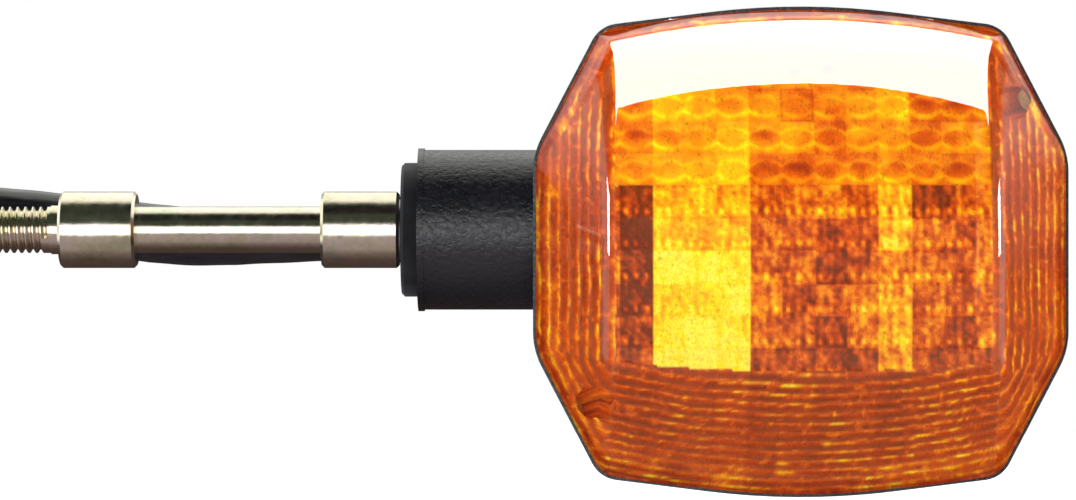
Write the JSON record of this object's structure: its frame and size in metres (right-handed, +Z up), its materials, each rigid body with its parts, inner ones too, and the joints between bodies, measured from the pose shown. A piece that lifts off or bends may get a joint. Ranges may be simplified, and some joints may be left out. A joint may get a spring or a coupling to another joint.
{
  "type": "turn signal indicator",
  "caption": "Faceted amber turn signal lamp on a black housing with a rubber-damped threaded stem, collars and a sleeved two-wire lead.",
  "frame": {"origin": "on the stem axis, at the shoulder of the outer collar where the threaded stud begins", "axes": "+X along the stem from the stud towards the lamp, lens facing -Y, +Z up"},
  "size_m": [0.2376, 0.0534, 0.0784],
  "materials": {
    "zinc_steel": "yellow passivated zinc on turned steel",
    "black_housing": "grained black moulding",
    "amber_lens": "clear amber moulding",
    "soft_rubber": "moulded rubber",
    "metallised": "vacuum metallised plastic",
    "bulb_glass": "clear blown glass",
    "bulb_brass": "stamped brass",
    "black_glass": "fused insulating bead",
    "tungsten": "drawn wire",
    "plated_steel": "bright zinc plate",
    "fibre_board": "pressed insulating fibre",
    "spring_steel": "drawn spring wire",
    "live_insulation": "wire insulation",
    "ground_insulation": "wire insulation",
    "sleeve_vinyl": "glossy flexible tube",
    "tin_brass": "tinned brass"
  },
  "bodies": {
    "stem": {"stem_rod": "zinc_steel", "outer_collar": "zinc_steel", "inner_collar": "zinc_steel", "damper_bush": "plated_steel", "damper_washer": "plated_steel", "lock_washer": "plated_steel", "stem_nut": "plated_steel", "harness_sleeve": "sleeve_vinyl", "live_wire": "live_insulation", "ground_wire": "ground_insulation", "live_bullet": "tin_brass", "ground_bullet": "tin_brass", "live_boot": "soft_rubber", "ground_boot": "soft_rubber"},
    "damper": {"rubber_damper": "soft_rubber", "damper_ring": "soft_rubber"},
    "head": {"housing": "black_housing", "lens": "amber_lens", "lens_gasket": "soft_rubber", "lens_screws": "plated_steel", "reflector": "metallised", "socket_shell": "plated_steel", "socket_insulator": "fibre_board", "contact_spring": "spring_steel", "socket_bracket": "plated_steel", "bracket_screw": "plated_steel", "ground_lug": "tin_brass"},
    "plunger": {"contact_plunger": "fibre_board", "contact_button": "bulb_brass"},
    "bulb": {"bulb_base": "bulb_brass", "bulb_insulator": "black_glass", "bulb_contact": "tin_brass", "bulb_glass": "bulb_glass", "bulb_mount": "bulb_glass", "bulb_supports": "tungsten", "bulb_filament": "tungsten"}
  },
  "joints": [
    {"name": "flex_fore_aft", "type": "hinge", "parent": "stem", "child": "damper", "pos_m": [0.0677, 0, 0], "axis": [0, 0, 1], "range_deg": [-6, 6], "stiffness_Nm_per_rad": 25, "deforming": ["rubber_damper", "damper_ring", "live_wire", "ground_wire"]},
    {"name": "flex_up_down", "type": "hinge", "parent": "damper", "child": "head", "pos_m": [0.0677, 0, 0], "axis": [0, 1, 0], "range_deg": [-5, 5], "stiffness_Nm_per_rad": 25, "deforming": ["rubber_damper", "damper_ring", "live_wire", "ground_wire"]},
    {"name": "bulb_push", "type": "slide", "parent": "head", "child": "plunger", "axis": [-1, 0, 0], "range_m": [0, 0.0015], "stiffness_N_per_m": 1500, "springref_m": -0.001, "deforming": ["contact_spring"]},
    {"name": "bulb_turn", "type": "hinge", "parent": "plunger", "child": "bulb", "pos_m": [0.0945, -0.013, -0.0036], "axis": [1, 0, 0], "range_deg": [0, 24]}
  ],
  "couplings": [
    {"joint": "bulb_turn", "follows": "bulb_push", "rad_per_m": 279.2}
  ]
}
